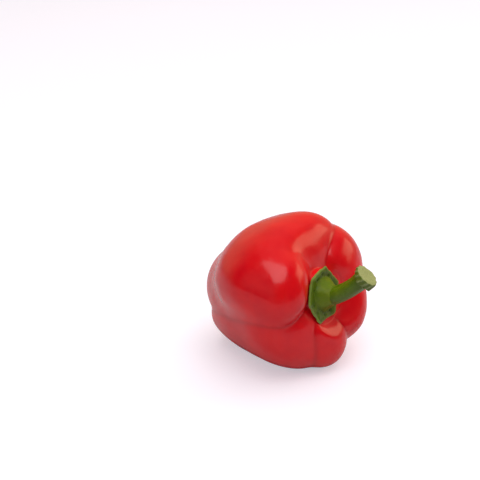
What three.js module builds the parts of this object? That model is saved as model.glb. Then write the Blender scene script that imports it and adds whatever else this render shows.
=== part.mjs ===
// A red bell pepper lying on its side: a lobed fruit, the green calyx seated in
// the hollow between its shoulders, and the stem that grows out of the calyx.
// Millimetres, +Z up. The pepper rests on a small flat spot under its two lowest
// lobes, and its stem end points along +X, a little upward.
import * as THREE from 'three';
import { mergeVertices } from 'three/addons/utils/BufferGeometryUtils.js';

// ---- how the pepper lies, mm and degrees
const STEM_END_RISE = 18;      // the fruit's axis climbs this much toward the stem
const FLAT_SPOT_SINK = 1.0;    // how far the skin is pressed flat where it rests
const TOUCH_GAP = 0.3;         // left between two pieces that touch

// ---- the lobes of the fruit, in the fruit's own frame: X along its axis toward
// the stem, clock angles around that axis with 0 upward, clockwise seen from the
// stem. Each lobe is a superellipsoid: its middle stands off the axis by lean and
// lies at along on the axis, it is deep across the axis, wide around it, and
// reaches up toward the stem and down toward the blossom end. Its swell makes the
// shoulder stouter than the tip, splay opens the shoulder outward and twist turns
// the lobe around its own radius. Square above 2 makes the ends blunt.
const LOBES = {
  crown: {
    clock: 344, along: 2, lean: 21, deep: 22, wide: 37, up: 26, down: 23,
    swell: 0.15, splay: -3, twist: 0, squareUp: 2.6, squareDown: 2.5,
  },
  flank: {
    clock: 294, along: -8, lean: 17, deep: 19.5, wide: 25, up: 47, down: 43,
    swell: 0, splay: 11, twist: -4, squareUp: 2.8, squareDown: 2.4,
  },
  belly: {
    clock: 214, along: -1, lean: 19, deep: 22, wide: 28.5, up: 32, down: 47,
    swell: 0.36, splay: 3, twist: -5, squareUp: 2.6, squareDown: 3.2,
  },
  keel: {
    clock: 161, along: -5, lean: 20, deep: 20, wide: 16, up: 40, down: 32,
    swell: 0.28, splay: 8, twist: 17, squareUp: 2.6, squareDown: 2.8,
  },
  hip: {
    clock: 126, along: 0, lean: 20.5, deep: 20.5, wide: 23.5, up: 35, down: 39,
    swell: 0.1, splay: 12, twist: 2, squareUp: 2.2, squareDown: 2.6,
  },
  shoulder: {
    clock: 67, along: -4, lean: 24.3, deep: 22, wide: 23.5, up: 34, down: 39,
    swell: 0.15, splay: 10, twist: -3, squareUp: 2.2, squareDown: 2.6,
  },
};
const SWELL_LIMIT = 1.2;       // the swell stops growing past this share of a lobe
// lobes joined by a shallow valley, and how round that valley is
const SOFT_PAIRS = [['crown', 'flank'], ['shoulder', 'hip']];
const VALLEY_ROUND = 6;
const FURROW_ROUND = 1.2;      // the deep furrows between the other lobes
const LOBE_REACH = 90;         // further from the middle than any skin
const SCAN_STEP = 1.5;
const BISECTIONS = 16;

// ---- the seat of the calyx, a round dish sunk between the shoulders
const SEAT = { along: 29, side: 1.5, height: -1, tilt: 16, towardClock: 118 };
const SEAT_RADIUS = 17;        // the dish climbs steeply past this radius
const SEAT_DISH = 60;          // radius of curvature of the dish's floor
const WALL_HEIGHT = 13.2;      // the wall climbs this high above the floor's edge
const WALL_RUN = 11;           // and rolls over outward within this run
const SEAT_ROUND = 1.5;        // how softly the floor runs into what stands around it
const WALL_ROUND = 3;          // how softly the wall runs over into the shoulders
const WALL_BLEND = 5;          // the wall takes over from the floor within this height
const CORE_RADIUS = 15;        // flesh under the calyx that fills the middle
const CORE_REACH = 38;
const CORE_SQUARE = 4;

// ---- the calyx and the stem, in the seat's frame: Z out of the fruit
// the blunt corners of the calyx: degrees around the seat, and mm from its middle
const TEETH = [
  { at: 44, radius: 17.2 }, { at: 94, radius: 16.8 }, { at: 150, radius: 17 },
  { at: 211, radius: 15.8 }, { at: 283, radius: 15 }, { at: 349, radius: 16 },
];
const RIM_THICKNESS = 0.9;
const RIM_WIDTH = 2.5;
const FLANGE_THICKNESS = 1.7;
const DOME_RADIUS = 9.8;       // where the dome meets the flange
const DOME_HEIGHT = 7;         // above the flange, where the stem begins
const DOME_SWEEP = 1.15;
const STEM_RADIUS = 5.0;
const STEM_WAIST = 4.6;
const STEM_RIBS = 5;
const RIB_DEPTH = 0.35;
const STEM_TOWARD = -12;       // the stem bends this way, degrees around the seat
const STEM_FOOT_LEAN = 17;     // and leans from the seat's axis at its foot
const STEM_END_LEAN = 43;      // and at its cut end
const STEM_FOOT_RUN = 10.5;    // how far it runs one way before it turns
const STEM_END_RUN = 13.9;     // and how far it runs the other way
const KNOB_RADIUS = 6.9;       // the flared end that was cut from the branch
const KNOB_LENGTH = 8;

// ---- mesh fineness
const FRUIT_AROUND = 80;
const FRUIT_RINGS = 40;
const CALYX_AROUND = 48;
const CALYX_RINGS = 10;
const STEM_AROUND = 24;
const STEM_STEPS = 18;

const rad = THREE.MathUtils.degToRad;

// the largest of several distances with its corners rounded over; a negative
// roundness gives the smallest instead
function roundedMax(values, round) {
  const top = round > 0 ? Math.max(...values) : Math.min(...values);
  const sum = values.reduce((s, v) => s + Math.exp((v - top) / round), 0);
  return top + round * Math.log(sum);
}

// where a ray from the middle of the fruit crosses the edge of a solid, between
// a distance that the solid holds and one that it doesn't
function edgeBetween(holds, held, free) {
  let [near, far] = [held, free];
  for (let i = 0; i < BISECTIONS; i += 1) {
    const middle = (near + far) / 2;
    if (holds(middle)) near = middle;
    else far = middle;
  }
  return near;
}

const alongRay = (direction, isInside) => {
  const point = new THREE.Vector3();
  return (distance) => isInside(point.copy(direction).multiplyScalar(distance));
};

// the furthest skin of a solid that may stand clear of the middle
function lastExit(direction, isInside) {
  const holds = alongRay(direction, isInside);
  let distance = LOBE_REACH;
  while (distance > 0 && !holds(distance)) distance -= SCAN_STEP;
  return distance > 0 ? edgeBetween(holds, distance, distance + SCAN_STEP) : 0;
}

// the nearest skin of a space that the middle is in
function firstExit(direction, isInside) {
  const holds = alongRay(direction, isInside);
  let distance = 0;
  while (distance < LOBE_REACH && holds(distance)) distance += SCAN_STEP;
  return edgeBetween(holds, distance - SCAN_STEP, distance);
}

function insideLobe(lobe) {
  const outward = new THREE.Vector3(0, Math.sin(rad(lobe.clock)), Math.cos(rad(lobe.clock)));
  const around = new THREE.Vector3(0, Math.cos(rad(lobe.clock)), -Math.sin(rad(lobe.clock)));
  const [cs, ss] = [Math.cos(rad(lobe.splay)), Math.sin(rad(lobe.splay))];
  const [ct, st] = [Math.cos(rad(lobe.twist)), Math.sin(rad(lobe.twist))];
  return (point) => {
    const qx = point.x - lobe.along;
    const qr = point.dot(outward) - lobe.lean;
    const qt = point.dot(around);
    const splayed = qx * cs + qr * ss;
    const radial = -qx * ss + qr * cs;
    const axial = splayed * ct + qt * st;
    const tangential = -splayed * st + qt * ct;
    const reach = axial > 0 ? lobe.up : lobe.down;
    const square = axial > 0 ? lobe.squareUp : lobe.squareDown;
    const share = THREE.MathUtils.clamp(axial / lobe.down, -SWELL_LIMIT, SWELL_LIMIT);
    const stout = 1 + lobe.swell * share;
    const across = Math.hypot(radial / (lobe.deep * stout), tangential / (lobe.wide * stout));
    return across ** square + (Math.abs(axial) / reach) ** square < 1;
  };
}

// the seat's frame: origin at the middle of the dish, Z out of the fruit, X the
// direction in the dish that is most nearly upward
function seatFrame() {
  const { along, side, height, tilt, towardClock } = SEAT;
  const normal = new THREE.Vector3(
    Math.cos(rad(tilt)),
    Math.sin(rad(tilt)) * Math.sin(rad(towardClock)),
    Math.sin(rad(tilt)) * Math.cos(rad(towardClock)),
  );
  const upward = new THREE.Vector3(0, 0, 1);
  upward.addScaledVector(normal, -normal.z).normalize();
  const across = new THREE.Vector3().crossVectors(normal, upward);
  const frame = new THREE.Matrix4().makeBasis(upward, across, normal);
  return frame.setPosition(along, side, height);
}

const fruitToRow = new THREE.Matrix4().makeRotationY(-rad(STEM_END_RISE));
const seatToFruit = seatFrame();
const fruitToSeat = seatToFruit.clone().invert();

const floorHeight = (radius) => radius ** 2 / (2 * SEAT_DISH);
const wallHeight = (radius) => {
  const outward = radius - SEAT_RADIUS;
  const climb = outward > 0
    ? WALL_HEIGHT * (1 - Math.exp(-outward / WALL_RUN))
    : outward * WALL_HEIGHT / WALL_RUN;
  return floorHeight(SEAT_RADIUS) + climb;
};
const dishHeight = (radius) => Math.max(floorHeight(radius), wallHeight(radius));

function isBelow(heightAt) {
  return (point) => {
    const local = point.clone().applyMatrix4(fruitToSeat);
    return local.z < heightAt(Math.hypot(local.x, local.y));
  };
}

function insideCore(point) {
  const across = Math.hypot(point.y - SEAT.side, point.z - SEAT.height) / CORE_RADIUS;
  return across ** CORE_SQUARE + (Math.abs(point.x) / CORE_REACH) ** CORE_SQUARE < 1;
}

function skinDistance(direction) {
  const reach = Object.fromEntries(Object.entries(LOBES)
    .map(([name, lobe]) => [name, lastExit(direction, insideLobe(lobe))]));
  const paired = SOFT_PAIRS.flat();
  const parts = SOFT_PAIRS.map((pair) => roundedMax(pair.map((name) => reach[name]), VALLEY_ROUND));
  Object.keys(reach).filter((name) => !paired.includes(name)).forEach((name) => parts.push(reach[name]));
  parts.push(firstExit(direction, insideCore));
  const lobed = roundedMax(parts, FURROW_ROUND);
  const floor = firstExit(direction, isBelow(floorHeight));
  const wall = firstExit(direction, isBelow(wallHeight));
  const onWall = THREE.MathUtils.smoothstep(wall - floor, 0, WALL_BLEND);
  const round = THREE.MathUtils.lerp(SEAT_ROUND, WALL_ROUND, onWall);
  return roundedMax([lobed, Math.max(floor, wall)], -round);
}

// a closed skin over rows of points: a first point, rings of equal length, and a
// last point; the faces look outward when the rings run right-handed about the
// way from the first point to the last
function closedSkin(first, rings, last) {
  const around = rings[0].length;
  const points = [first, ...rings.flat(), last];
  const at = (ring, i) => 1 + ring * around + (i % around);
  const end = points.length - 1;
  const faces = [];
  for (let i = 0; i < around; i += 1) {
    faces.push(0, at(0, i + 1), at(0, i));
    for (let ring = 0; ring < rings.length - 1; ring += 1) {
      faces.push(at(ring, i), at(ring, i + 1), at(ring + 1, i + 1));
      faces.push(at(ring, i), at(ring + 1, i + 1), at(ring + 1, i));
    }
    faces.push(end, at(rings.length - 1, i), at(rings.length - 1, i + 1));
  }
  const geometry = new THREE.BufferGeometry();
  const positions = points.flatMap((p) => [p.x, p.y, p.z]);
  geometry.setAttribute('position', new THREE.Float32BufferAttribute(positions, 3));
  geometry.setIndex(faces);
  return mergeVertices(geometry, 1e-4);
}

function fruitGeometry() {
  const skinPoint = (polar, turn) => {
    const direction = new THREE.Vector3(
      -Math.cos(polar),
      Math.sin(polar) * Math.sin(turn),
      -Math.sin(polar) * Math.cos(turn),
    );
    return direction.multiplyScalar(skinDistance(direction)).applyMatrix4(fruitToRow);
  };
  const rings = [];
  for (let ring = 1; ring < FRUIT_RINGS; ring += 1) {
    const polar = Math.PI * ring / FRUIT_RINGS;
    rings.push(Array.from({ length: FRUIT_AROUND }, (_, i) => (
      skinPoint(polar, 2 * Math.PI * i / FRUIT_AROUND))));
  }
  const first = skinPoint(0, 0);
  const last = skinPoint(Math.PI, 0);
  const floor = Math.min(...rings.flat().map((p) => p.z)) + FLAT_SPOT_SINK;
  rings.flat().forEach((p) => { p.z = Math.max(p.z, floor); });
  return closedSkin(first, rings, last);
}

// ---- calyx
// the outline runs straight from each corner to the next
function outlineRadius(angle) {
  const past = (tooth) => THREE.MathUtils.euclideanModulo(angle - rad(tooth.at), 2 * Math.PI);
  const before = TEETH.reduce((best, tooth) => (past(tooth) < past(best) ? tooth : best));
  const after = TEETH[(TEETH.indexOf(before) + 1) % TEETH.length];
  const span = THREE.MathUtils.euclideanModulo(rad(after.at - before.at), 2 * Math.PI);
  const gone = past(before);
  return before.radius * after.radius * Math.sin(span)
    / (before.radius * Math.sin(gone) + after.radius * Math.sin(span - gone));
}

function calyxTop(radius, outline) {
  const edge = THREE.MathUtils.smoothstep(outline - radius, 0, RIM_WIDTH);
  const flange = THREE.MathUtils.lerp(RIM_THICKNESS, FLANGE_THICKNESS, edge);
  const climb = THREE.MathUtils.clamp((DOME_RADIUS - radius) / (DOME_RADIUS - STEM_RADIUS), 0, 1);
  return dishHeight(radius) + flange + DOME_HEIGHT * climb ** DOME_SWEEP;
}

function calyxGeometry() {
  const ring = (point) => Array.from({ length: CALYX_AROUND }, (_, i) => point(2 * Math.PI * i / CALYX_AROUND));
  const polar = (angle, radius, z) => new THREE.Vector3(radius * Math.cos(angle), radius * Math.sin(angle), z);
  const under = [];
  const over = [];
  for (let i = 1; i <= CALYX_RINGS; i += 1) {
    const share = i / CALYX_RINGS;
    under.push(ring((angle) => {
      const radius = share * outlineRadius(angle);
      return polar(angle, radius, dishHeight(radius));
    }));
  }
  for (let i = 0; i <= CALYX_RINGS; i += 1) {
    const share = 1 - i / CALYX_RINGS;
    over.push(ring((angle) => {
      const outline = outlineRadius(angle);
      const radius = THREE.MathUtils.lerp(STEM_RADIUS, outline, share);
      return polar(angle, radius, calyxTop(radius, outline));
    }));
  }
  const crown = calyxTop(STEM_RADIUS, outlineRadius(0));
  return closedSkin(new THREE.Vector3(), [...under, ...over], new THREE.Vector3(0, 0, crown));
}

// ---- stem: a ribbed stalk on a curve that leans out of the calyx and bends on
function stemCurve() {
  const toward = (lean) => new THREE.Vector3(
    Math.sin(rad(lean)) * Math.cos(rad(STEM_TOWARD)),
    Math.sin(rad(lean)) * Math.sin(rad(STEM_TOWARD)),
    Math.cos(rad(lean)),
  );
  const foot = new THREE.Vector3(0, 0, calyxTop(STEM_RADIUS, outlineRadius(0)) + TOUCH_GAP);
  const turn = foot.clone().addScaledVector(toward(STEM_FOOT_LEAN), STEM_FOOT_RUN);
  const end = turn.clone().addScaledVector(toward(STEM_END_LEAN), STEM_END_RUN);
  return new THREE.QuadraticBezierCurve3(foot, turn, end);
}

function stemGeometry() {
  const curve = stemCurve();
  const length = curve.getLength();
  const across = new THREE.Vector3(-Math.sin(rad(STEM_TOWARD)), Math.cos(rad(STEM_TOWARD)), 0);
  const rings = [];
  for (let step = 0; step <= STEM_STEPS; step += 1) {
    const share = step / STEM_STEPS;
    const centre = curve.getPointAt(share);
    const along = step === 0 ? new THREE.Vector3(0, 0, 1) : curve.getTangentAt(share);
    const side = new THREE.Vector3().crossVectors(across, along).normalize();
    const toKnob = Math.max(0, 1 - (1 - share) * length / KNOB_LENGTH);
    const waist = THREE.MathUtils.lerp(STEM_RADIUS, STEM_WAIST, Math.min(1, share * 3));
    const radius = THREE.MathUtils.lerp(waist, KNOB_RADIUS, toKnob ** 2);
    rings.push(Array.from({ length: STEM_AROUND }, (_, i) => {
      const angle = 2 * Math.PI * i / STEM_AROUND;
      const ribbed = radius + RIB_DEPTH * Math.cos(STEM_RIBS * angle) * Math.min(1, share * 4);
      return centre.clone()
        .addScaledVector(side, ribbed * Math.cos(angle))
        .addScaledVector(across, ribbed * Math.sin(angle));
    }));
  }
  return closedSkin(curve.getPoint(0), rings, curve.getPoint(1));
}

function piece(name, geometry, colour, roughness) {
  geometry.computeVertexNormals();
  const material = new THREE.MeshStandardMaterial({ color: colour, roughness, metalness: 0 });
  const mesh = new THREE.Mesh(geometry, material);
  mesh.name = name;
  return mesh;
}

const cap = new THREE.Group();
cap.applyMatrix4(new THREE.Matrix4().multiplyMatrices(fruitToRow, seatToFruit));
const calyx = piece('calyx', calyxGeometry(), 0x3f7a17, 0.5);
calyx.position.z = TOUCH_GAP;
cap.add(calyx, piece('stem', stemGeometry(), 0x5a8f24, 0.55));
cap.children[1].position.z = TOUCH_GAP;

const pepper = new THREE.Group();
pepper.add(piece('fruit', fruitGeometry(), 0xc8141a, 0.25), cap);
pepper.updateMatrixWorld(true);
const box = new THREE.Box3().setFromObject(pepper, true);
const centre = box.getCenter(new THREE.Vector3());
pepper.position.set(-centre.x, -centre.y, -box.min.z);

export default pepper;
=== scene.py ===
"""A red bell pepper lying on its side: glossy lobed fruit, green calyx, curved stem.

The shapes are worked out in millimetres, in the fruit's own frame, and placed on
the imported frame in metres. Z is up, and the stem end points along +X.
"""
import math

import bpy
import numpy as np
from mathutils import Matrix, Vector


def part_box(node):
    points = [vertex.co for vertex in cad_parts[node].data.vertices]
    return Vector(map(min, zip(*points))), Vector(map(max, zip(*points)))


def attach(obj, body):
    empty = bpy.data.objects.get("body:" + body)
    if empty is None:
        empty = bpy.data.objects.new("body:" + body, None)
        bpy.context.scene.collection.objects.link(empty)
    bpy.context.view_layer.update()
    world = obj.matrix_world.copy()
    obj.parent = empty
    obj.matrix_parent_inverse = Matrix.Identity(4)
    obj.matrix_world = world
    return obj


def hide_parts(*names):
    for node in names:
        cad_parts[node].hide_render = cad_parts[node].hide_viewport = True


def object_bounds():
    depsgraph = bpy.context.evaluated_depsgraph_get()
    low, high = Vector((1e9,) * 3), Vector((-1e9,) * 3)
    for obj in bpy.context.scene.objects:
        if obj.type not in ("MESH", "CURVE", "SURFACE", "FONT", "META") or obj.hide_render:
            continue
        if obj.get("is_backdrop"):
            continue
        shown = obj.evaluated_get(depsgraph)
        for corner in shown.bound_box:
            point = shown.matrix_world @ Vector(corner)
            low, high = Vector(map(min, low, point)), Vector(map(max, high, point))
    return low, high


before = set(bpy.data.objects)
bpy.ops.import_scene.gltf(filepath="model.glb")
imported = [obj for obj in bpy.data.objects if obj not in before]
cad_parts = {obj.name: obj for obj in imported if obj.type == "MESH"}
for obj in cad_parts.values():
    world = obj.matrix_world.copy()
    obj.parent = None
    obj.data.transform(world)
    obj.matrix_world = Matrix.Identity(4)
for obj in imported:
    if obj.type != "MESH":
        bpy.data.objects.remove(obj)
cad_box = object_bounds()

MM = 0.001
STEM_END_RISE = math.radians(18)    # the fruit's axis climbs this much toward the stem
FLAT_SPOT_SINK = 1.0                # how far the skin is pressed flat where it rests
FLAT_SPOT_ROUND = 0.12              # how softly the skin runs into that flat spot

# ---------------------------------------------------------------- the fruit's lobes
# Clock angles run around the fruit's axis with 0 upward, clockwise seen from the
# stem. Each lobe is a superellipsoid: lean from the axis, along on it, deep across
# it, wide around it, reaching up toward the stem and down toward the blossom end.
LOBES = {
    "crown": dict(
        clock=344, along=2, lean=21, deep=22, wide=37, up=26, down=23,
        swell=0.15, splay=-3, twist=0, square_up=2.6, square_down=2.5,
    ),
    "flank": dict(
        clock=294, along=-8, lean=17, deep=19.5, wide=25, up=47, down=43,
        swell=0, splay=11, twist=-4, square_up=2.8, square_down=2.4,
    ),
    "belly": dict(
        clock=214, along=-1, lean=19, deep=22, wide=28.5, up=32, down=47,
        swell=0.36, splay=3, twist=-5, square_up=2.6, square_down=3.2,
    ),
    "keel": dict(
        clock=161, along=-5, lean=20, deep=20, wide=16, up=40, down=32,
        swell=0.28, splay=8, twist=17, square_up=2.6, square_down=2.8,
    ),
    "hip": dict(
        clock=126, along=0, lean=20.5, deep=20.5, wide=23.5, up=35, down=39,
        swell=0.1, splay=12, twist=2, square_up=2.2, square_down=2.6,
    ),
    "shoulder": dict(
        clock=67, along=-4, lean=24.3, deep=22, wide=23.5, up=34, down=39,
        swell=0.15, splay=10, twist=-3, square_up=2.2, square_down=2.6,
    ),
}
SWELL_LIMIT = 1.2                   # the swell stops growing past this share of a lobe
SOFT_PAIRS = [("crown", "flank"), ("shoulder", "hip")]
VALLEY_ROUND = 6                    # the shallow valley inside each soft pair
FURROW_ROUND = 0.8                  # the deep furrows between the other lobes
LOBE_REACH = 90                     # further from the middle than any skin
SCAN_STEP = 2.0
BISECTIONS = 14
CORE_RADIUS = 15                    # flesh under the calyx that fills the middle
CORE_REACH = 38
CORE_SQUARE = 4

# ---------------------------------------------------------------- the calyx's seat
SEAT_MIDDLE = np.array([29, 1.5, -1])
SEAT_TILT = math.radians(16)
SEAT_TOWARD = math.radians(118)     # clock angle that the seat tilts toward
SEAT_RADIUS = 17
SEAT_DISH = 60                      # radius of curvature of the dish's floor
WALL_HEIGHT = 13.2                  # the wall climbs this high above the floor's edge
WALL_RUN = 11                       # and rolls over outward within this run
SEAT_ROUND = 1.5                    # how softly the floor runs into what stands around it
WALL_ROUND = 3                      # how softly the wall runs over into the shoulders
WALL_BLEND = 5                      # the wall takes over from the floor within this height

# ---------------------------------------------------------------- calyx and stem
# the corners of the calyx: degrees around the seat, and mm from its middle
TEETH = [(44, 17.2), (94, 16.8), (150, 17), (211, 15.8), (283, 15), (349, 16)]
TOOTH_ROUND = 4                     # degrees either side that soften a corner
RIM_THICKNESS = 0.9
FLANGE_THICKNESS = 1.7
RIM_WIDTH = 2.5
DOME_RADIUS = 9.8
DOME_HEIGHT = 7
DOME_SWEEP = 1.15
DIMPLES = 11                        # small pits around the dome, each with a wart in it
DIMPLE_RING = 11.6
STEM_RADIUS = 5.0
STEM_WAIST = 4.6
STEM_RIBS = 5
RIB_DEPTH = 0.35
STEM_TOWARD = math.radians(-12)
STEM_FOOT_LEAN = math.radians(17)
STEM_END_LEAN = math.radians(43)
STEM_FOOT_RUN = 10.5
STEM_END_RUN = 13.9
STEM_SUNK = 0.8                     # the stalk's foot is let this far into the dome
KNOB_RADIUS = 6.9                   # the flared end that was cut from the branch

# ---------------------------------------------------------------- mesh fineness
FRUIT_AROUND = 376
FRUIT_RINGS = 250
WALL_POLAR = math.radians(33)       # rings of the fruit crowd together this far from its
WALL_SPREAD = math.radians(10)      # stem end, where the seat's wall is steep
WALL_CROWDING = 3
CALYX_AROUND = 420
STEM_AROUND = 144
FINE_STEPS = 2001                   # steps in which a run is measured before it is shared out


# ================================================================ shape of the skin
def rounded_max(values, sharpness):
    """Row by row the largest value with its corners rounded over; negative: the smallest."""
    scaled = np.asarray(values, float) / sharpness
    top = scaled.max(axis=0)
    return sharpness * (top + np.log(np.exp(scaled - top).sum(axis=0)))


def smoothstep(value, low, high):
    share = np.clip((value - low) / (high - low), 0, 1)
    return share * share * (3 - 2 * share)


def edge_between(rays, holds, held, free):
    """Where each ray crosses the edge of a solid between a held and a free distance."""
    for _ in range(BISECTIONS):
        middle = (held + free) / 2
        inside = holds(rays * middle[:, None])
        held = np.where(inside, middle, held)
        free = np.where(inside, free, middle)
    return held


def last_exit(rays, holds):
    """The furthest skin of a solid that may stand clear of the middle, 0 if missed."""
    distance = np.full(len(rays), float(LOBE_REACH))
    seeking = np.arange(len(rays))
    while len(seeking):
        inside = holds(rays[seeking] * distance[seeking, None])
        seeking = seeking[~inside]
        distance[seeking] -= SCAN_STEP
        seeking = seeking[distance[seeking] > 0]
    met = distance > 0
    edge = edge_between(rays, holds, distance, distance + SCAN_STEP)
    return np.where(met, edge, 0)


def first_exit(rays, holds):
    """The nearest skin of a space that the middle is in."""
    distance = np.zeros(len(rays))
    seeking = np.arange(len(rays))
    while len(seeking):
        inside = holds(rays[seeking] * distance[seeking, None])
        seeking = seeking[inside & (distance[seeking] < LOBE_REACH)]
        distance[seeking] += SCAN_STEP
    return edge_between(rays, holds, distance - SCAN_STEP, distance)


def inside_lobe(lobe):
    clock = math.radians(lobe["clock"])
    splay = math.radians(lobe["splay"])
    twist = math.radians(lobe["twist"])
    outward = np.array([0, math.sin(clock), math.cos(clock)])
    around = np.array([0, math.cos(clock), -math.sin(clock)])

    def holds(points):
        forward = points[:, 0] - lobe["along"]
        raised = points @ outward - lobe["lean"]
        sideways = points @ around
        splayed = forward * math.cos(splay) + raised * math.sin(splay)
        radial = -forward * math.sin(splay) + raised * math.cos(splay)
        axial = splayed * math.cos(twist) + sideways * math.sin(twist)
        tangential = -splayed * math.sin(twist) + sideways * math.cos(twist)
        upper = axial > 0
        reach = np.where(upper, lobe["up"], lobe["down"])
        square = np.where(upper, lobe["square_up"], lobe["square_down"])
        share = np.clip(axial / lobe["down"], -SWELL_LIMIT, SWELL_LIMIT)
        stout = 1 + lobe["swell"] * share
        across = np.hypot(radial / (lobe["deep"] * stout), tangential / (lobe["wide"] * stout))
        return across ** square + (np.abs(axial) / reach) ** square < 1

    return holds


def inside_core(points):
    across = np.hypot(points[:, 1] - SEAT_MIDDLE[1], points[:, 2] - SEAT_MIDDLE[2]) / CORE_RADIUS
    return across ** CORE_SQUARE + (np.abs(points[:, 0]) / CORE_REACH) ** CORE_SQUARE < 1


def seat_axes():
    """The seat's X, Y and Z in the fruit's frame, as rows: Z out of the fruit, X most upward."""
    normal = np.array([
        math.cos(SEAT_TILT),
        math.sin(SEAT_TILT) * math.sin(SEAT_TOWARD),
        math.sin(SEAT_TILT) * math.cos(SEAT_TOWARD),
    ])
    upward = np.array([0, 0, 1]) - normal * normal[2]
    upward /= np.linalg.norm(upward)
    return np.array([upward, np.cross(normal, upward), normal])


SEAT_AXES = seat_axes()


def floor_height(radius):
    return radius ** 2 / (2 * SEAT_DISH)


def wall_height(radius):
    outward = radius - SEAT_RADIUS
    rolled = WALL_HEIGHT * (1 - np.exp(-np.maximum(outward, 0) / WALL_RUN))
    climb = np.where(outward > 0, rolled, outward * WALL_HEIGHT / WALL_RUN)
    return floor_height(SEAT_RADIUS) + climb


def dish_height(radius):
    return np.maximum(floor_height(radius), wall_height(radius))


def is_below(height_at):
    def holds(points):
        local = (points - SEAT_MIDDLE) @ SEAT_AXES.T
        return local[:, 2] < height_at(np.hypot(local[:, 0], local[:, 1]))

    return holds


def skin_distance(rays):
    """How far the skin is along each ray, and how far the next two lobes lie under the first."""
    reach = {name: last_exit(rays, inside_lobe(lobe)) for name, lobe in LOBES.items()}
    parts = [rounded_max([reach.pop(name) for name in pair], VALLEY_ROUND) for pair in SOFT_PAIRS]
    parts += list(reach.values())
    ranked = np.sort(parts, axis=0)[::-1]
    parts.append(first_exit(rays, inside_core))
    lobed = rounded_max(parts, FURROW_ROUND)
    floor = first_exit(rays, is_below(floor_height))
    wall = first_exit(rays, is_below(wall_height))
    on_wall = smoothstep(wall - floor, 0, WALL_BLEND)
    sharpness = SEAT_ROUND + (WALL_ROUND - SEAT_ROUND) * on_wall
    seat = np.maximum(floor, wall)
    return rounded_max([lobed, seat], -sharpness), ranked[0] - ranked[1], ranked[0] - ranked[2]


def skin_rays():
    """Rings of rays from the blossom end to the stem end, closer together on the seat's wall."""
    even = np.linspace(0, math.pi, FINE_STEPS)
    density = 1 + WALL_CROWDING * np.exp(-((math.pi - even - WALL_POLAR) / WALL_SPREAD) ** 4)
    travelled = np.concatenate([[0], np.cumsum((density[1:] + density[:-1]) / 2)])
    polar = np.interp(np.linspace(0, travelled[-1], FRUIT_RINGS + 1), travelled, even)
    turn = 2 * math.pi * np.arange(FRUIT_AROUND) / FRUIT_AROUND
    polar, turn = np.meshgrid(polar[1:-1], turn, indexing="ij")
    rings = np.stack([
        -np.cos(polar),
        np.sin(polar) * np.sin(turn),
        -np.sin(polar) * np.cos(turn),
    ], axis=-1)
    return np.concatenate([[[-1, 0, 0]], rings.reshape(-1, 3), [[1, 0, 0]]])


def grid_faces(rings, around):
    """Faces of a closed skin: a first point, rings of points, and a last point."""
    ring, i = np.meshgrid(np.arange(rings - 1), np.arange(around), indexing="ij")
    a = 1 + ring * around + i
    b = 1 + ring * around + (i + 1) % around
    quads = np.stack([a, b, b + around, a + around], axis=-1).reshape(-1, 4).tolist()
    i = np.arange(around)
    after = (i + 1) % around
    top = 1 + (rings - 1) * around
    first = np.stack([np.zeros_like(i), 1 + after, 1 + i], axis=-1).tolist()
    last = np.stack([np.full_like(i, top + around), top + i, top + after], axis=-1).tolist()
    return first + quads + last


def ring_normals(points, rings, around):
    """Unit normals of a closed skin of rings, outward; the two end points get their ring's mean."""
    grid = points[1:-1].reshape(rings, around, 3)
    across = np.roll(grid, -1, axis=1) - np.roll(grid, 1, axis=1)
    padded = np.concatenate([np.repeat(points[:1, None], around, axis=1), grid,
                             np.repeat(points[-1:, None], around, axis=1)])
    onward = padded[2:] - padded[:-2]
    normals = np.cross(across, onward)
    normals /= np.linalg.norm(normals, axis=-1, keepdims=True) + 1e-12
    ends = [normals[0].mean(axis=0), normals[-1].mean(axis=0)]
    return np.concatenate([[ends[0]], normals.reshape(-1, 3), [ends[1]]])


def ripples(points, seed, count, shortest, longest, squeeze):
    """A smooth random field of mean size 1, made of plane waves; squeeze slows it along X."""
    random = np.random.default_rng(seed)
    total = np.zeros(len(points))
    for _ in range(count):
        way = random.normal(size=3) * np.array([squeeze, 1, 1])
        way /= np.linalg.norm(way)
        length = random.uniform(shortest, longest)
        total += np.sin(points @ way * 2 * math.pi / length + random.uniform(0, 2 * math.pi))
    return total / math.sqrt(count / 2)


class Placing:
    """Turns points of the fruit's and the seat's frames, mm, into the row's frame, metres."""

    def __init__(self, skin):
        c, s = math.cos(STEM_END_RISE), math.sin(STEM_END_RISE)
        self.turn = np.array([[c, 0, -s], [0, 1, 0], [s, 0, c]])
        lying = skin @ self.turn.T
        low, high = lying.min(axis=0), lying.max(axis=0)
        cad_low, cad_high = (np.array(corner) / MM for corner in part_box("fruit"))
        self.middle = (cad_low + cad_high - low - high) / 2
        self.middle[2] = -(low[2] + FLAT_SPOT_SINK)

    def fruit(self, points):
        return (points @ self.turn.T + self.middle) * MM

    def seat(self, points):
        return self.fruit(points @ SEAT_AXES + SEAT_MIDDLE)


def add_piece(name, points, faces, node, material, masks, grown=None):
    """A smooth mesh with its masks as attributes, riding in place of its CAD node."""
    mesh = bpy.data.meshes.new(name)
    mesh.from_pydata(points.tolist(), [], faces)
    mesh.shade_smooth()
    for label, values in masks.items():
        attribute = mesh.attributes.new(label, "FLOAT", "POINT")
        attribute.data.foreach_set("value", np.asarray(values, np.float32))
    if grown is not None:
        attribute = mesh.attributes.new("grown", "FLOAT_VECTOR", "POINT")
        attribute.data.foreach_set("vector", np.asarray(grown, np.float32).ravel())
    mesh.materials.append(material)
    piece = bpy.data.objects.new(name, mesh)
    bpy.context.scene.collection.objects.link(piece)
    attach(piece, "root")
    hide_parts(node)
    return piece


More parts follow.
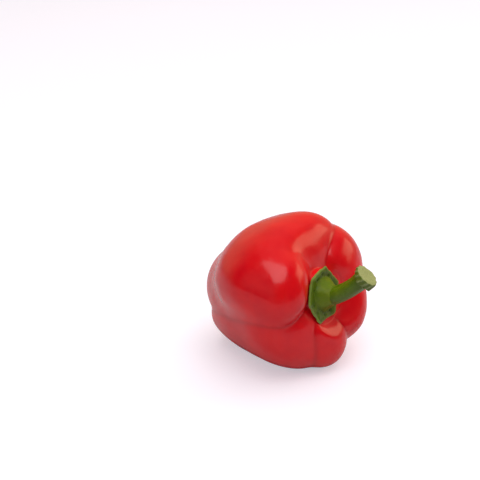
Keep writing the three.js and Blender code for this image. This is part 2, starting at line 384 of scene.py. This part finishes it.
# ================================================================ the fruit
GROOVE_DEPTH = 0.45                 # furrows are pressed this much deeper into the wall
GROOVE_WIDTH = 1.1
RIPPLE_HEIGHT = 0.13                # how uneven the skin is
RIPPLE_WAVES = 14
BROAD_RIPPLES = (18, 36)            # shortest and longest wave, mm
FINE_RIPPLES = (7, 12)
FINE_RIPPLE_SHARE = 0.2
SCAR_RADIUS = 2.6                   # the dry spot where the blossom was
BLOSSOM_END = -0.88                 # it lies where furrows meet, on rays this near the axis


def fruit_skin():
    """Points of the skin in the fruit's frame, its faces, and the masks its material needs."""
    rays = skin_rays()
    distance, gap, third_gap = skin_distance(rays)
    points = rays * distance[:, None]
    normals = ring_normals(points, FRUIT_RINGS - 1, FRUIT_AROUND)
    furrow = np.exp(-(gap / GROOVE_WIDTH) ** 2)
    local = (points - SEAT_MIDDLE) @ SEAT_AXES.T
    from_seat = np.hypot(local[:, 0], local[:, 1])
    near_seat = (1 - smoothstep(from_seat, SEAT_RADIUS, 2 * SEAT_RADIUS)) * (points[:, 0] > 0)
    beside_calyx = smoothstep(from_seat, SEAT_RADIUS - 1, SEAT_RADIUS + 3)
    swell = ripples(points, 11, RIPPLE_WAVES, *BROAD_RIPPLES, 0.45)
    swell += FINE_RIPPLE_SHARE * ripples(points, 12, RIPPLE_WAVES, *FINE_RIPPLES, 0.8)
    points = points + normals * (
        RIPPLE_HEIGHT * swell * beside_calyx - GROOVE_DEPTH * furrow * near_seat * beside_calyx
    )[:, None]
    at_end = rays[:, 0] < BLOSSOM_END
    blossom = at_end & (third_gap <= third_gap[at_end].min())
    from_scar = np.linalg.norm(points - points[blossom][0], axis=1)
    scar = 1 - smoothstep(from_scar, 0.6 * SCAR_RADIUS, SCAR_RADIUS)
    # the furrow mask also sets where the skin's material paints shade into the furrows
    masks = {"furrow": furrow, "near_seat": near_seat, "blossom_scar": scar}
    return points, grid_faces(FRUIT_RINGS - 1, FRUIT_AROUND), masks


def press_flat(points):
    """The skin, in the row's frame, pressed softly flat where it rests on the ground."""
    soft = FLAT_SPOT_ROUND * MM
    pressed = points.copy()
    pressed[:, 2] = soft * np.logaddexp(0, points[:, 2] / soft)
    return pressed


# ================================================================ the calyx
HALF_RIM = RIM_THICKNESS / 2
UNDER_ROWS = 12                     # rows of points on the underside, which begin at this
UNDER_FROM = 0.08                   # share of the way out
EDGE_ROWS = 9
TOP_ROWS = 90
TUCKED = 0.6                        # the top runs this far in under the stalk's skin
RAGGED_EDGE = 0.12
RIM_LIFT = 0.16                     # the rim curls up this much
PIT_DEPTH = 0.85
WART_HEIGHT = 0.75
WART_SHARE = 0.42                   # of the width of its pit
MOAT_DEPTH = 0.35                   # a shallow ring around the foot of the dome
MOAT_WIDTH = 0.9
RIDGE_HEIGHT = 0.3                  # the stalk's ribs run down over the dome
WRINKLE_HEIGHT = 0.05               # on the skin of the green parts


def tooth_outline(angles):
    """The calyx's edge: straight from corner to corner, with the corners softened."""
    corners = sorted(TEETH)
    at = np.radians([corner[0] for corner in corners])
    reach = np.array([corner[1] for corner in corners])
    spread = np.radians(np.arange(-TOOTH_ROUND, TOOTH_ROUND + 1))
    total = np.zeros_like(angles)
    for shift in spread:
        turned = (angles + shift) % (2 * math.pi)
        before = (np.searchsorted(at, turned, side="right") - 1) % len(at)
        after = (before + 1) % len(at)
        span = (at[after] - at[before]) % (2 * math.pi)
        gone = (turned - at[before]) % (2 * math.pi)
        total += reach[before] * reach[after] * np.sin(span) / (
            reach[before] * np.sin(gone) + reach[after] * np.sin(span - gone))
    return total / len(spread)


def calyx_top(radius, outline):
    edge = smoothstep(outline - radius, 0, RIM_WIDTH)
    flange = RIM_THICKNESS + (FLANGE_THICKNESS - RIM_THICKNESS) * edge
    climb = np.clip((DOME_RADIUS - radius) / (DOME_RADIUS - STEM_RADIUS), 0, 1)
    return dish_height(radius) + flange + DOME_HEIGHT * climb ** DOME_SWEEP


def dimple_field(x, y):
    """Depth share of the pits and height share of the warts in them."""
    random = np.random.default_rng(5)
    pits = np.zeros_like(x)
    warts = np.zeros_like(x)
    for i in range(DIMPLES):
        angle = 2 * math.pi * (i + random.uniform(-0.22, 0.22)) / DIMPLES
        ring = DIMPLE_RING + random.uniform(-0.5, 0.6)
        size = random.uniform(0.85, 1.25)
        away = np.hypot(x - ring * math.cos(angle), y - ring * math.sin(angle))
        pits = np.maximum(pits, np.exp(-(away / size) ** 2))
        warts = np.maximum(warts, np.exp(-(away / (WART_SHARE * size)) ** 2))
    return pits, warts


def calyx_under(outline):
    """Rows of the underside, outward: radius, height, and the rim, pit and dome masks."""
    none = 0 * outline
    rows = []
    for share in np.linspace(UNDER_FROM, 1, UNDER_ROWS, endpoint=False):
        radius = share * (outline - HALF_RIM)
        rows.append((radius, dish_height(radius), none, none, none))
    return rows


def calyx_edge(outline):
    """Rows over the rounded edge, from the underside to the top."""
    none = 0 * outline
    rows = []
    for slope in np.radians(np.linspace(-90, 90, EDGE_ROWS)):
        radius = outline - HALF_RIM + HALF_RIM * math.cos(slope)
        height = dish_height(outline - HALF_RIM) + HALF_RIM * (1 + math.sin(slope))
        rows.append((radius, height, 1 + none, none, none))
    return rows


def calyx_over(angles, outline):
    """Rows of the top, inward, with its rim, pits, warts, moat and ridges."""
    rows = []
    ridge = np.cos(STEM_RIBS * (angles - STEM_TOWARD))
    for share in np.linspace(0, 1, TOP_ROWS)[1:]:
        radius = outline - HALF_RIM + (STEM_RADIUS - TUCKED - outline + HALF_RIM) * share
        inward = outline - radius
        rim = 1 - smoothstep(inward, 0.5, 1.3)
        dome = 1 - smoothstep(radius, DOME_RADIUS - 2.2, DOME_RADIUS + 0.8)
        inside = smoothstep(inward, 1.0, RIM_WIDTH + 0.1) * (1 - dome)
        pits, warts = dimple_field(radius * np.cos(angles), radius * np.sin(angles))
        moat = np.exp(-((radius - DOME_RADIUS - 0.6) / MOAT_WIDTH) ** 2)
        height = calyx_top(radius, outline) + RIM_LIFT * rim
        height += inside * (WART_HEIGHT * warts - PIT_DEPTH * pits - MOAT_DEPTH * moat)
        height += RIDGE_HEIGHT * ridge * dome * smoothstep(radius, STEM_RADIUS, STEM_RADIUS + 2)
        rows.append((radius, height, rim, pits * inside, dome))
    return rows


def calyx_skin():
    """Points of the calyx in the seat's frame, its faces, its masks and how it grew."""
    angles = 2 * math.pi * np.arange(CALYX_AROUND) / CALYX_AROUND
    unit_ring = np.stack([np.cos(angles), np.sin(angles), 0 * angles], axis=1)
    outline = tooth_outline(angles) + RAGGED_EDGE * ripples(unit_ring * 16, 3, 8, 4, 9, 1)
    rows = calyx_under(outline) + calyx_edge(outline) + calyx_over(angles, outline)
    radius, height, rim, pits, dome = (np.array(column) for column in zip(*rows))
    rings = np.stack([radius * np.cos(angles), radius * np.sin(angles), height], axis=-1)
    points = np.concatenate([[[0, 0, 0]], rings.reshape(-1, 3), [[0, 0, height[-1].mean()]]])
    turned = np.arctan2(points[:, 1], points[:, 0])
    spread = np.hypot(points[:, 0], points[:, 1])
    grown = np.stack([8 * np.cos(turned), 8 * np.sin(turned), 0.15 * spread], axis=1)
    wrinkle = WRINKLE_HEIGHT * ripples(points, 8, 12, 1.5, 4, 1)
    points += ring_normals(points, len(rows), CALYX_AROUND) * wrinkle[:, None]
    points[:, 2] = np.maximum(points[:, 2], 0)
    masks = {
        "rim": np.concatenate([[0], rim.ravel(), [0]]),
        "pit": np.concatenate([[0], pits.ravel(), [0]]),
        "dome": np.concatenate([[0], dome.ravel(), [1]]),
    }
    return points, grid_faces(len(rows), CALYX_AROUND), masks, grown


# ================================================================ the stem
COLLAR_STEP = 1.3                   # the flare rises to its full width within this run
COLLAR_THIN = 1.9                   # its length on the upper side
COLLAR_THICK = 5.2                  # and on the lower side
COLLAR_FULL_SIDE = math.radians(150)
COLLAR_GROOVES = 13
GROOVE_TWIST = 0.9                  # radians that the grooves turn in a millimetre
FACE_CUP = 0.5                      # the cut face sinks this much toward its middle
FACE_BEVEL = 0.35
STALK_ROWS = 150
FACE_ROWS = 40


def stem_way(lean):
    return np.array([
        math.sin(lean) * math.cos(STEM_TOWARD),
        math.sin(lean) * math.sin(STEM_TOWARD),
        math.cos(lean),
    ])


def stem_curve(count):
    """Points and headings along the stalk, evenly spaced, and its length."""
    start = np.array([0, 0, float(calyx_top(np.float64(STEM_RADIUS), np.float64(SEAT_RADIUS)))])
    turn = start + stem_way(STEM_FOOT_LEAN) * STEM_FOOT_RUN
    end = turn + stem_way(STEM_END_LEAN) * STEM_END_RUN
    share = np.linspace(0, 1, FINE_STEPS)[:, None]
    fine = (1 - share) ** 2 * start + 2 * share * (1 - share) * turn + share ** 2 * end
    travelled = np.concatenate([[0], np.cumsum(np.linalg.norm(np.diff(fine, axis=0), axis=1))])
    wanted = np.linspace(0, travelled[-1], count)
    points = np.stack([np.interp(wanted, travelled, fine[:, k]) for k in range(3)], axis=1)
    ways = np.gradient(points, axis=0)
    ways /= np.linalg.norm(ways, axis=1, keepdims=True)
    return points, ways, travelled[-1]


def stem_ring(angles, centre, way, radius, lift):
    """A ring of points around the stalk, each lifted along it."""
    across = np.array([-math.sin(STEM_TOWARD), math.cos(STEM_TOWARD), 0])
    side = np.cross(across, way)
    outward = np.cos(angles)[:, None] * side + np.sin(angles)[:, None] * across
    return centre + way * lift[:, None] + radius[:, None] * outward


def stalk_radius(angles, ragged, along, to_end):
    """The stalk's radius all around, how far each point is on the collar, and its crests."""
    thick = 0.5 + 0.5 * np.cos(angles - COLLAR_FULL_SIDE)
    collar = COLLAR_THIN + (COLLAR_THICK - COLLAR_THIN) * thick
    on_collar = smoothstep(collar + 0.25 * ragged - to_end, 0, COLLAR_STEP)
    waist = STEM_RADIUS + (STEM_WAIST - STEM_RADIUS) * smoothstep(along, 0, 8)
    ribs = RIB_DEPTH * np.cos(STEM_RIBS * angles) * smoothstep(along, 0, 5)
    grooves = np.cos(COLLAR_GROOVES * angles + GROOVE_TWIST * to_end)
    wide = KNOB_RADIUS + 0.12 * ragged + 0.22 * grooves - 0.1 * np.maximum(0, 1.2 - to_end)
    flare = 0.5 * smoothstep(to_end, 8, 3.5)
    radius = (waist + ribs + flare) * (1 - on_collar) + wide * on_collar
    return radius, on_collar, on_collar * np.maximum(grooves, 0)


def stem_rows(angles):
    """Rings from the dome to the middle of the cut face, with collar, cut face and crest masks."""
    none = 0 * angles
    unit_ring = np.stack([np.cos(angles), np.sin(angles), none], axis=1)
    ragged = ripples(unit_ring * 6, 21, 8, 2, 6, 1)
    centres, ways, length = stem_curve(STALK_ROWS)
    rows = []
    for centre, way, along in zip(centres, ways, np.linspace(0, length, STALK_ROWS)):
        radius, on_collar, crest = stalk_radius(angles, ragged, along, length - along)
        rows.append((stem_ring(angles, centre, way, radius, none), on_collar, none, crest))
    foot = rows[0][0] - ways[0] * STEM_SUNK
    rows.insert(0, (foot, *rows[0][1:]))
    for share in np.linspace(0, 1, FACE_ROWS)[1:-1]:
        bevel = FACE_BEVEL * (1 - np.exp(-share / 0.05))
        cup = FACE_CUP * smoothstep(share, 0.1, 0.9)
        rough = 0.12 * ragged * np.sin(9 * share) * (1 - share)
        face = np.full_like(angles, smoothstep(share, 0.0, 0.06))
        ring = stem_ring(angles, centres[-1], ways[-1], radius * (1 - share), bevel - cup + rough)
        rows.append((ring, 1 - face, face, none))
    return rows, centres[0] - ways[0] * STEM_SUNK


def stem_skin():
    """Points of the stalk in the seat's frame, its faces, its masks and how it grew."""
    angles = 2 * math.pi * np.arange(STEM_AROUND) / STEM_AROUND
    rows, root = stem_rows(angles)
    rings, collar, face, crest = (np.array(column) for column in zip(*rows))
    points = np.concatenate([[root], rings.reshape(-1, 3), [rings[-1].mean(axis=0)]])
    middles = np.repeat(rings.mean(axis=1), STEM_AROUND, axis=0)
    middles = np.concatenate([points[:1], middles, points[-1:]])
    lengthways = np.concatenate([[0], np.repeat(np.arange(len(rows)), STEM_AROUND), [0]])
    low_side = np.concatenate([[0], np.tile(np.cos(angles - math.pi), len(rows)), [0]])
    turned = np.concatenate([[0], np.tile(angles, len(rows)), [0]])
    masks = {
        "collar": np.concatenate([[0], collar.ravel(), [0]]),
        "cut_face": np.concatenate([[0], face.ravel(), [1]]),
        "crest": np.concatenate([[0], crest.ravel(), [0]]),
        # underside: the stalk's lower side, where a reflection of light from below is painted
        "underside": smoothstep(low_side, -0.1, 0.8) * (lengthways < STALK_ROWS),
    }
    reach = np.linalg.norm(points - middles, axis=1)
    grown = np.stack([reach * np.cos(turned), reach * np.sin(turned), 0.015 * lengthways], axis=1)
    wrinkle = WRINKLE_HEIGHT * ripples(points, 31, 14, 1.2, 4, 0.6)
    points += ring_normals(points, len(rows), STEM_AROUND) * wrinkle[:, None]
    return points, grid_faces(len(rows), STEM_AROUND), masks, grown


# ================================================================ node helpers
def put(tree, kind, settings=None, **inputs):
    """A new node; an input is named with _ for each space, or by its number as n0, n1..."""
    node = tree.nodes.new("ShaderNode" + kind)
    for name, value in (settings or {}).items():
        setattr(node, name, value)
    for name, value in inputs.items():
        numbered = name[0] == "n" and name[1:].isdigit()
        socket = node.inputs[int(name[1:]) if numbered else name.replace("_", " ")]
        if isinstance(value, bpy.types.NodeSocket):
            tree.links.new(value, socket)
        else:
            socket.default_value = value
    return node


def mixed(tree, factor, first, second):
    """The colour between two colours."""
    first, second = (c if isinstance(c, bpy.types.NodeSocket) else (*c, 1) for c in (first, second))
    return put(tree, "Mix", {"data_type": "RGBA"}, n0=factor, n6=first, n7=second).outputs[2]


def mapped(tree, value, low, high, to_low=0.0, to_high=1.0):
    settings = {"interpolation_type": "SMOOTHSTEP"}
    return put(tree, "MapRange", settings, Value=value, From_Min=low, From_Max=high,
               To_Min=to_low, To_Max=to_high).outputs[0]


def sums(tree, operation, first, second):
    return put(tree, "Math", {"operation": operation}, n0=first, n1=second).outputs[0]


def mask_of(tree, label):
    return put(tree, "Attribute", {"attribute_name": label}).outputs["Fac"]


def new_effect(name, inputs, outputs):
    """An empty node group with number inputs and outputs, and its two end nodes."""
    group = bpy.data.node_groups.new(name, "ShaderNodeTree")
    for label, value in inputs.items():
        socket = group.interface.new_socket(label, in_out="INPUT", socket_type="NodeSocketFloat")
        socket.default_value = value
    for label in outputs:
        group.interface.new_socket(label, in_out="OUTPUT", socket_type="NodeSocketFloat")
    return group, group.nodes.new("NodeGroupInput"), group.nodes.new("NodeGroupOutput")


def use_effect(tree, group, **inputs):
    node = tree.nodes.new("ShaderNodeGroup")
    node.node_tree = group
    for name, value in inputs.items():
        node.inputs[name].default_value = value
    return node.outputs


# ================================================================ shared effects
def blotches_effect():
    """Soft uneven patches, Scale of them in a metre, sharper with more Contrast."""
    group, source, sink = new_effect("blotches", {"Scale": 60.0, "Contrast": 0.2}, ["Mask"])
    where = put(group, "TexCoord").outputs["Object"]
    noise = put(group, "TexNoise", Vector=where, Scale=source.outputs["Scale"], Detail=3.0,
                Roughness=0.55, Distortion=0.4).outputs["Fac"]
    low = sums(group, "SUBTRACT", 0.5, source.outputs["Contrast"])
    high = sums(group, "ADD", 0.5, source.outputs["Contrast"])
    group.links.new(mapped(group, noise, low, high), sink.inputs["Mask"])
    return group


def flecks_effect():
    """Tiny round flecks, Scale of them in a metre; Size is their share of the spacing."""
    group, source, sink = new_effect("flecks", {"Scale": 900.0, "Size": 0.3}, ["Mask"])
    where = put(group, "TexCoord").outputs["Object"]
    cells = put(group, "TexVoronoi", Vector=where, Scale=source.outputs["Scale"], Randomness=1.0)
    inside = put(group, "MapRange", {"interpolation_type": "SMOOTHSTEP"},
                 Value=cells.outputs["Distance"], From_Min=0.0, From_Max=source.outputs["Size"],
                 To_Min=1.0, To_Max=0.0).outputs[0]
    chosen = put(group, "SeparateColor", Color=cells.outputs["Color"]).outputs[0]
    kept = mapped(group, chosen, 0.35, 0.9)
    group.links.new(sums(group, "MULTIPLY", inside, kept), sink.inputs["Mask"])
    return group


def fibres_effect():
    """Streaks that run the way the green parts grew, about Scale of them in a millimetre."""
    group, source, sink = new_effect("fibres", {"Scale": 0.8}, ["Mask"])
    where = put(group, "Attribute", {"attribute_name": "grown"}).outputs["Vector"]
    noise = put(group, "TexNoise", Vector=where, Scale=source.outputs["Scale"], Detail=4.0,
                Roughness=0.6).outputs["Fac"]
    group.links.new(mapped(group, noise, 0.3, 0.7), sink.inputs["Mask"])
    return group


# ================================================================ materials
def new_material(name):
    material = bpy.data.materials.new(name)
    material.use_nodes = True
    tree = material.node_tree
    return material, tree, tree.nodes["Principled BSDF"]


def finish_shader(tree, shader, colour, roughness, height, bump_depth, **settings):
    tree.links.new(colour, shader.inputs["Base Color"])
    tree.links.new(roughness, shader.inputs["Roughness"])
    bump = put(tree, "Bump", Height=height, Strength=1.0, Distance=bump_depth)
    tree.links.new(bump.outputs["Normal"], shader.inputs["Normal"])
    for name, value in settings.items():
        shader.inputs[name.replace("_", " ")].default_value = value


def waxy_red_skin(blotches, flecks):
    material, tree, shader = new_material("waxy_red_skin")
    broad = use_effect(tree, blotches, Scale=38.0, Contrast=0.22)["Mask"]
    small = use_effect(tree, blotches, Scale=190.0, Contrast=0.25)["Mask"]
    pores = use_effect(tree, flecks, Scale=700.0, Size=0.34)["Mask"]
    colour = mixed(tree, broad, (0.66, 0.001, 0.009), (0.80, 0.005, 0.008))
    colour = mixed(tree, sums(tree, "MULTIPLY", small, 0.35), colour, (0.76, 0.008, 0.009))
    colour = mixed(tree, sums(tree, "MULTIPLY", pores, 0.12), colour, (0.82, 0.030, 0.024))
    # painted shade: the skin is painted darker red along the furrows between the lobes, where shade falls
    colour = mixed(tree, sums(tree, "MULTIPLY", mask_of(tree, "furrow"), 0.3), colour, (0.34, 0.001, 0.004))
    scar = mask_of(tree, "blossom_scar")
    colour = mixed(tree, scar, colour, (0.20, 0.085, 0.03))
    roughness = mapped(tree, small, 0.0, 1.0, 0.20, 0.27)
    roughness = sums(tree, "ADD", roughness, sums(tree, "MULTIPLY", scar, 0.4))
    height = sums(tree, "ADD", sums(tree, "MULTIPLY", small, 0.7), sums(tree, "MULTIPLY", pores, 0.3))
    finish_shader(
        tree, shader, colour, roughness, height, 0.05 * MM,
        Specular_IOR_Level=0.38, Coat_Weight=0.12, Coat_Roughness=0.06, Subsurface_Weight=0.08,
        Subsurface_Radius=(1.0, 0.15, 0.08), Subsurface_Scale=0.003,
    )
    return material


def green_calyx_flesh(blotches, flecks, fibres):
    material, tree, shader = new_material("green_calyx_flesh")
    broad = use_effect(tree, blotches, Scale=170.0, Contrast=0.2)["Mask"]
    pores = use_effect(tree, flecks, Scale=1500.0, Size=0.4)["Mask"]
    streaks = use_effect(tree, fibres, Scale=0.7)["Mask"]
    dome = mask_of(tree, "dome")
    flange = mixed(tree, broad, (0.050, 0.110, 0.001), (0.092, 0.146, 0.001))
    hump = mixed(tree, broad, (0.100, 0.160, 0.001), (0.136, 0.186, 0.001))
    colour = mixed(tree, dome, flange, hump)
    colour = mixed(tree, sums(tree, "MULTIPLY", streaks, 0.2), colour, (0.15, 0.22, 0.012))
    # painted shade: the calyx is painted dark green inside its pits, where shade falls
    colour = mixed(tree, sums(tree, "MULTIPLY", mask_of(tree, "pit"), 0.7), colour, (0.018, 0.055, 0.003))
    colour = mixed(tree, sums(tree, "MULTIPLY", mask_of(tree, "rim"), 0.7), colour, (0.22, 0.30, 0.06))
    colour = mixed(tree, sums(tree, "MULTIPLY", pores, 0.15), colour, (0.30, 0.38, 0.10))
    roughness = mapped(tree, broad, 0.0, 1.0, 0.36, 0.46)
    height = sums(tree, "ADD", sums(tree, "MULTIPLY", streaks, 0.7), sums(tree, "MULTIPLY", pores, 0.3))
    finish_shader(
        tree, shader, colour, roughness, height, 0.12 * MM, Specular_IOR_Level=0.25,
        Subsurface_Weight=0.05, Subsurface_Radius=(0.5, 1.0, 0.1), Subsurface_Scale=0.0015,
    )
    return material


def green_stalk(blotches, flecks, fibres):
    material, tree, shader = new_material("green_stalk")
    broad = use_effect(tree, blotches, Scale=150.0, Contrast=0.2)["Mask"]
    pores = use_effect(tree, flecks, Scale=1300.0, Size=0.35)["Mask"]
    streaks = use_effect(tree, fibres, Scale=0.8)["Mask"]
    fine_streaks = use_effect(tree, fibres, Scale=2.6)["Mask"]
    face = mask_of(tree, "cut_face")
    colour = mixed(tree, broad, (0.084, 0.165, 0.001), (0.130, 0.200, 0.002))
    # painted reflection: the stalk's lower side is painted a paler, bluer green, like the light it reflects
    # from below
    painted_underside_reflection = sums(tree, "MULTIPLY", mask_of(tree, "underside"), 0.7)
    colour = mixed(tree, painted_underside_reflection, colour, (0.110, 0.150, 0.045))
    colour = mixed(tree, sums(tree, "MULTIPLY", streaks, 0.3), colour, (0.050, 0.110, 0.003))
    collar = sums(tree, "MULTIPLY", mask_of(tree, "collar"), 0.45)
    colour = mixed(tree, collar, colour, (0.095, 0.130, 0.018))
    # painted highlight: the crests of the collar's grooves are painted pale, as if they caught the light
    crest = sums(tree, "MULTIPLY", mask_of(tree, "crest"), fine_streaks)
    colour = mixed(tree, crest, colour, (0.30, 0.35, 0.15))
    pith = mixed(tree, fine_streaks, (0.28, 0.32, 0.10), (0.44, 0.46, 0.20))
    colour = mixed(tree, face, colour, pith)
    colour = mixed(tree, sums(tree, "MULTIPLY", pores, 0.15), colour, (0.30, 0.38, 0.12))
    roughness = mapped(tree, broad, 0.0, 1.0, 0.36, 0.46)
    roughness = sums(tree, "ADD", roughness, sums(tree, "MULTIPLY", face, 0.3))
    height = sums(tree, "ADD", streaks, sums(tree, "MULTIPLY", fine_streaks, 0.5))
    finish_shader(
        tree, shader, colour, roughness, height, 0.15 * MM, Specular_IOR_Level=0.25,
        Subsurface_Weight=0.05, Subsurface_Radius=(0.5, 1.0, 0.2), Subsurface_Scale=0.0015,
    )
    return material


# ================================================================ the studio
CAMERA_AZIMUTH = math.radians(48.35)
CAMERA_ELEVATION = math.radians(26.35)
CAMERA_DISTANCE = 0.76
CAMERA_LENS = 100
AIM_LEFT = 0.0261                   # the camera looks past the fruit's middle, so that the
AIM_UP = 0.0290                     # pepper stands low and to the right in the view
FLOOR_SIDE = 8.0
FLOOR_GAP = 0.0002                  # the floor lies this far under the resting spot
PAPER_GLOW = 0.50                   # the white that the paper adds of its own where it is seen

# where each lamp stands round the fruit (degrees from +X, degrees up, metres away), its
# width and height in metres, how bright its face is, its colour, and whether it is mirrored
LAMPS = {
    "softbox": (-30, 60, 1.3, 1.1, 0.80, 2.5, (1.0, 0.98, 0.97), True),
    "warm_side_light": (60, 21, 1.3, 0.9, 0.55, 2.3, (1.0, 0.78, 0.52), True),
    "overhead_sheet": (110, 74, 1.6, 1.8, 1.8, 1.8, (1.0, 0.99, 1.0), False),
    "front_fill": (-80, 25, 1.5, 1.3, 1.0, 1.0, (1.0, 0.98, 0.98), False),
}


def camera_axes():
    sa, ca = math.sin(CAMERA_AZIMUTH), math.cos(CAMERA_AZIMUTH)
    se, ce = math.sin(CAMERA_ELEVATION), math.cos(CAMERA_ELEVATION)
    back = Vector((sa * ce, -ca * ce, se))
    right = Vector((ca, sa, 0))
    return back, right, back.cross(right)


def turn_toward(thing, target):
    thing.rotation_euler = (target - thing.location).to_track_quat("-Z", "Y").to_euler()


def add_camera(middle):
    back, right, up = camera_axes()
    camera = bpy.data.objects.new("camera", bpy.data.cameras.new("camera"))
    bpy.context.scene.collection.objects.link(camera)
    camera.data.lens = CAMERA_LENS
    camera.location = middle + back * CAMERA_DISTANCE
    level = Matrix((right, up, back)).transposed().to_quaternion()
    gaze = middle - right * AIM_LEFT + up * AIM_UP - camera.location
    camera.rotation_euler = ((-back).rotation_difference(gaze) @ level).to_euler()
    bpy.context.scene.camera = camera


def add_lamp(name, middle, azimuth, elevation, away, width, height, radiance, colour, mirrored):
    light = bpy.data.lights.new(name, "AREA")
    light.shape = "RECTANGLE"
    light.size, light.size_y = width, height
    light.energy = math.pi * width * height * radiance
    light.color = colour
    lamp = bpy.data.objects.new(name, light)
    bpy.context.scene.collection.objects.link(lamp)
    lamp.visible_glossy = mirrored
    azimuth, elevation = math.radians(azimuth), math.radians(elevation)
    lamp.location = middle + away * Vector((
        math.cos(elevation) * math.cos(azimuth),
        math.cos(elevation) * math.sin(azimuth),
        math.sin(elevation),
    ))
    turn_toward(lamp, middle)


def add_floor():
    material, tree, shader = new_material("white_paper")
    blotches = use_effect(tree, bpy.data.node_groups["blotches"], Scale=3.0, Contrast=0.3)["Mask"]
    paper = mixed(tree, blotches, (0.62, 0.61, 0.66), (0.63, 0.62, 0.67))
    tree.links.new(paper, shader.inputs["Base Color"])
    shader.inputs["Roughness"].default_value = 0.9
    shader.inputs["Specular IOR Level"].default_value = 0.1
    shader.inputs["Emission Color"].default_value = (0.96, 0.92, 1.0, 1)
    seen = put(tree, "LightPath").outputs["Is Camera Ray"]
    tree.links.new(sums(tree, "MULTIPLY", seen, PAPER_GLOW), shader.inputs["Emission Strength"])
    half = FLOOR_SIDE / 2
    corners = [(-half, -half, -FLOOR_GAP), (half, -half, -FLOOR_GAP),
               (half, half, -FLOOR_GAP), (-half, half, -FLOOR_GAP)]
    mesh = bpy.data.meshes.new("floor")
    mesh.from_pydata(corners, [], [(0, 1, 2, 3)])
    mesh.materials.append(material)
    floor = bpy.data.objects.new("floor", mesh)
    bpy.context.scene.collection.objects.link(floor)
    floor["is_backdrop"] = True


ROOM_DARK = (0.05, 0.05, 0.05)      # the room on the camera's side of the pepper
ROOM_BRIGHT = (0.52, 0.42, 0.28)    # the white sheets beyond it


def add_surroundings():
    """A room dark in front and white behind; plain white where the camera looks past the floor."""
    world = bpy.data.worlds.new("studio")
    bpy.context.scene.world = world
    world.use_nodes = True
    tree = world.node_tree
    tree.nodes.clear()
    beyond = (-math.sin(CAMERA_AZIMUTH), math.cos(CAMERA_AZIMUTH), 0)
    way = put(tree, "TexCoord").outputs["Generated"]
    facing = put(tree, "VectorMath", {"operation": "DOT_PRODUCT"}, n0=way, n1=beyond).outputs["Value"]
    shade = mixed(tree, mapped(tree, facing, -0.15, 0.75), ROOM_DARK, ROOM_BRIGHT)
    room = put(tree, "Background", Color=shade, Strength=1.0)
    white = put(tree, "Background", Color=(1, 1, 1, 1), Strength=1.0)
    seen = put(tree, "LightPath").outputs["Is Camera Ray"]
    both = put(tree, "MixShader", n0=seen, n1=room.outputs[0], n2=white.outputs[0])
    put(tree, "OutputWorld", Surface=both.outputs[0])


# ================================================================ building it
def build_pepper():
    blotches, flecks, fibres = blotches_effect(), flecks_effect(), fibres_effect()
    skin, faces, masks = fruit_skin()
    placing = Placing(skin)
    add_piece("pepper_fruit", press_flat(placing.fruit(skin)), faces, "fruit",
              waxy_red_skin(blotches, flecks), masks)
    points, faces, masks, grown = calyx_skin()
    add_piece("pepper_calyx", placing.seat(points), faces, "calyx",
              green_calyx_flesh(blotches, flecks, fibres), masks, grown)
    points, faces, masks, grown = stem_skin()
    add_piece("pepper_stem", placing.seat(points), faces, "stem",
              green_stalk(blotches, flecks, fibres), masks, grown)
    return Vector(placing.middle * MM)


middle = build_pepper()
add_camera(middle)
add_floor()
add_surroundings()
for lamp_name, values in LAMPS.items():
    add_lamp(lamp_name, middle, *values)
bpy.context.scene.view_settings.view_transform = "Standard"

sizes = {"cad": cad_box, "visual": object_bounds()}
sizes = {name: [list(corner) for corner in box] for name, box in sizes.items()}
